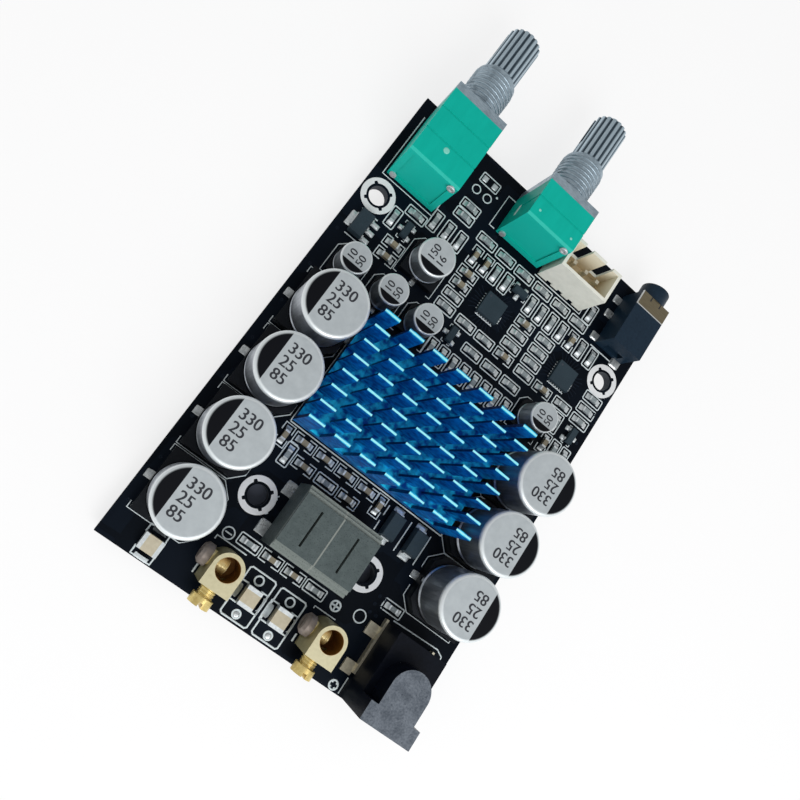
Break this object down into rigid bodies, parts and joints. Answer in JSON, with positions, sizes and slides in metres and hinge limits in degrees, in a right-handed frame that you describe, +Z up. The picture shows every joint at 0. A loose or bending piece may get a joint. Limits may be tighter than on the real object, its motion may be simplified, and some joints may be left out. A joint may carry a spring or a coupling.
{
  "type": "audio amplifier board",
  "caption": "Black circuit board audio amplifier with a blue finned heatsink, volume and tone controls, power jack, brass screw terminals, audio jack and pin header.",
  "frame": {"origin": "midway between the two lower mounting holes, on the underside of the board", "axes": "+X across the board, +Y along it towards the control shafts, +Z up out of the component side"},
  "size_m": [0.056, 0.1007, 0.0138],
  "materials": {
    "solder_mask": "satin black solder mask",
    "blue_anodised": "blue anodised, bright cut fin tops",
    "thermal_grey": "matte thermal pad",
    "chip_black": "matte moulded package",
    "can_metal": "satin can with a printed black crescent",
    "base_plastic": "black moulded base",
    "tinned": "tinned",
    "ferrite": "ground grey ferrite",
    "brass_plate": "satin brass",
    "screw_steel": "dull grey plated",
    "screw_brass": "golden",
    "jack_plastic": "grained black plastic",
    "zinc": "die-cast zinc",
    "pot_green": "semi-gloss green plastic",
    "header_cream": "cream nylon",
    "audio_plastic": "satin black plastic",
    "bronze": "dull bronze plate",
    "resistor": "black resistor body",
    "ceramic": "tan fired ceramic"
  },
  "bodies": {
    "board": {"circuit_board": "solder_mask", "heatsink": "blue_anodised", "thermal_pad": "thermal_grey", "amplifier_chip": "chip_black", "bulk_capacitor_can_1": "can_metal", "bulk_capacitor_can_2": "can_metal", "bulk_capacitor_can_3": "can_metal", "bulk_capacitor_can_4": "can_metal", "bulk_capacitor_can_5": "can_metal", "bulk_capacitor_can_6": "can_metal", "bulk_capacitor_can_7": "can_metal", "bulk_capacitor_base_1": "base_plastic", "bulk_capacitor_base_2": "base_plastic", "bulk_capacitor_base_3": "base_plastic", "bulk_capacitor_base_4": "base_plastic", "bulk_capacitor_base_5": "base_plastic", "bulk_capacitor_base_6": "base_plastic", "bulk_capacitor_base_7": "base_plastic", "small_capacitor_can_1": "can_metal", "small_capacitor_can_2": "can_metal", "small_capacitor_can_3": "can_metal", "small_capacitor_can_4": "can_metal", "small_capacitor_bases": "base_plastic", "input_capacitor_can": "can_metal", "input_capacitor_base": "base_plastic", "capacitor_leads": "tinned", "inductor_core_left": "ferrite", "inductor_core_right": "ferrite", "inductor_leads": "tinned", "negative_terminal": "brass_plate", "positive_terminal": "brass_plate", "power_jack_housing": "jack_plastic", "power_jack_pin": "tinned", "power_jack_contacts": "tinned", "volume_bush": "zinc", "volume_body": "pot_green", "volume_terminals": "tinned", "tone_bush": "zinc", "tone_body": "pot_green", "tone_terminals": "tinned", "header_housing": "header_cream", "header_pins": "tinned", "audio_jack_housing": "audio_plastic", "audio_jack_plate": "bronze", "audio_jack_contacts": "tinned", "preamp_chip": "chip_black", "filter_chip": "chip_black", "regulator": "chip_black", "diodes_and_transistors": "chip_black", "chip_leads": "tinned", "chip_resistors": "resistor", "chip_ceramics": "ceramic", "chip_ends": "tinned"},
    "volume_shaft": {"volume_shaft": "zinc"},
    "tone_shaft": {"tone_shaft": "zinc"},
    "negative_side_screw": {"negative_side_screw": "screw_steel"},
    "positive_side_screw": {"positive_side_screw": "screw_steel"},
    "negative_front_screw": {"negative_front_screw": "screw_brass"},
    "positive_front_screw": {"positive_front_screw": "screw_brass"}
  },
  "joints": [
    {"name": "volume_turn", "type": "hinge", "parent": "board", "child": "volume_shaft", "pos_m": [-0.01925, 0.0664, 0.0066], "axis": [0, 1, 0], "range_deg": [-150, 150]},
    {"name": "tone_turn", "type": "hinge", "parent": "board", "child": "tone_shaft", "pos_m": [0.0008, 0.0664, 0.0066], "axis": [0, 1, 0], "range_deg": [-150, 150]},
    {"name": "negative_side_clamp", "type": "slide", "parent": "board", "child": "negative_side_screw", "axis": [-1, 0, 0], "range_m": [-0.00025, 0.0007]},
    {"name": "negative_front_clamp", "type": "slide", "parent": "board", "child": "negative_front_screw", "axis": [0, -1, 0], "range_m": [0, 0.0012]},
    {"name": "positive_side_clamp", "type": "slide", "parent": "board", "child": "positive_side_screw", "axis": [-1, 0, 0], "range_m": [-0.00025, 0.0007]},
    {"name": "positive_front_clamp", "type": "slide", "parent": "board", "child": "positive_front_screw", "axis": [0, -1, 0], "range_m": [0, 0.0012]}
  ]
}
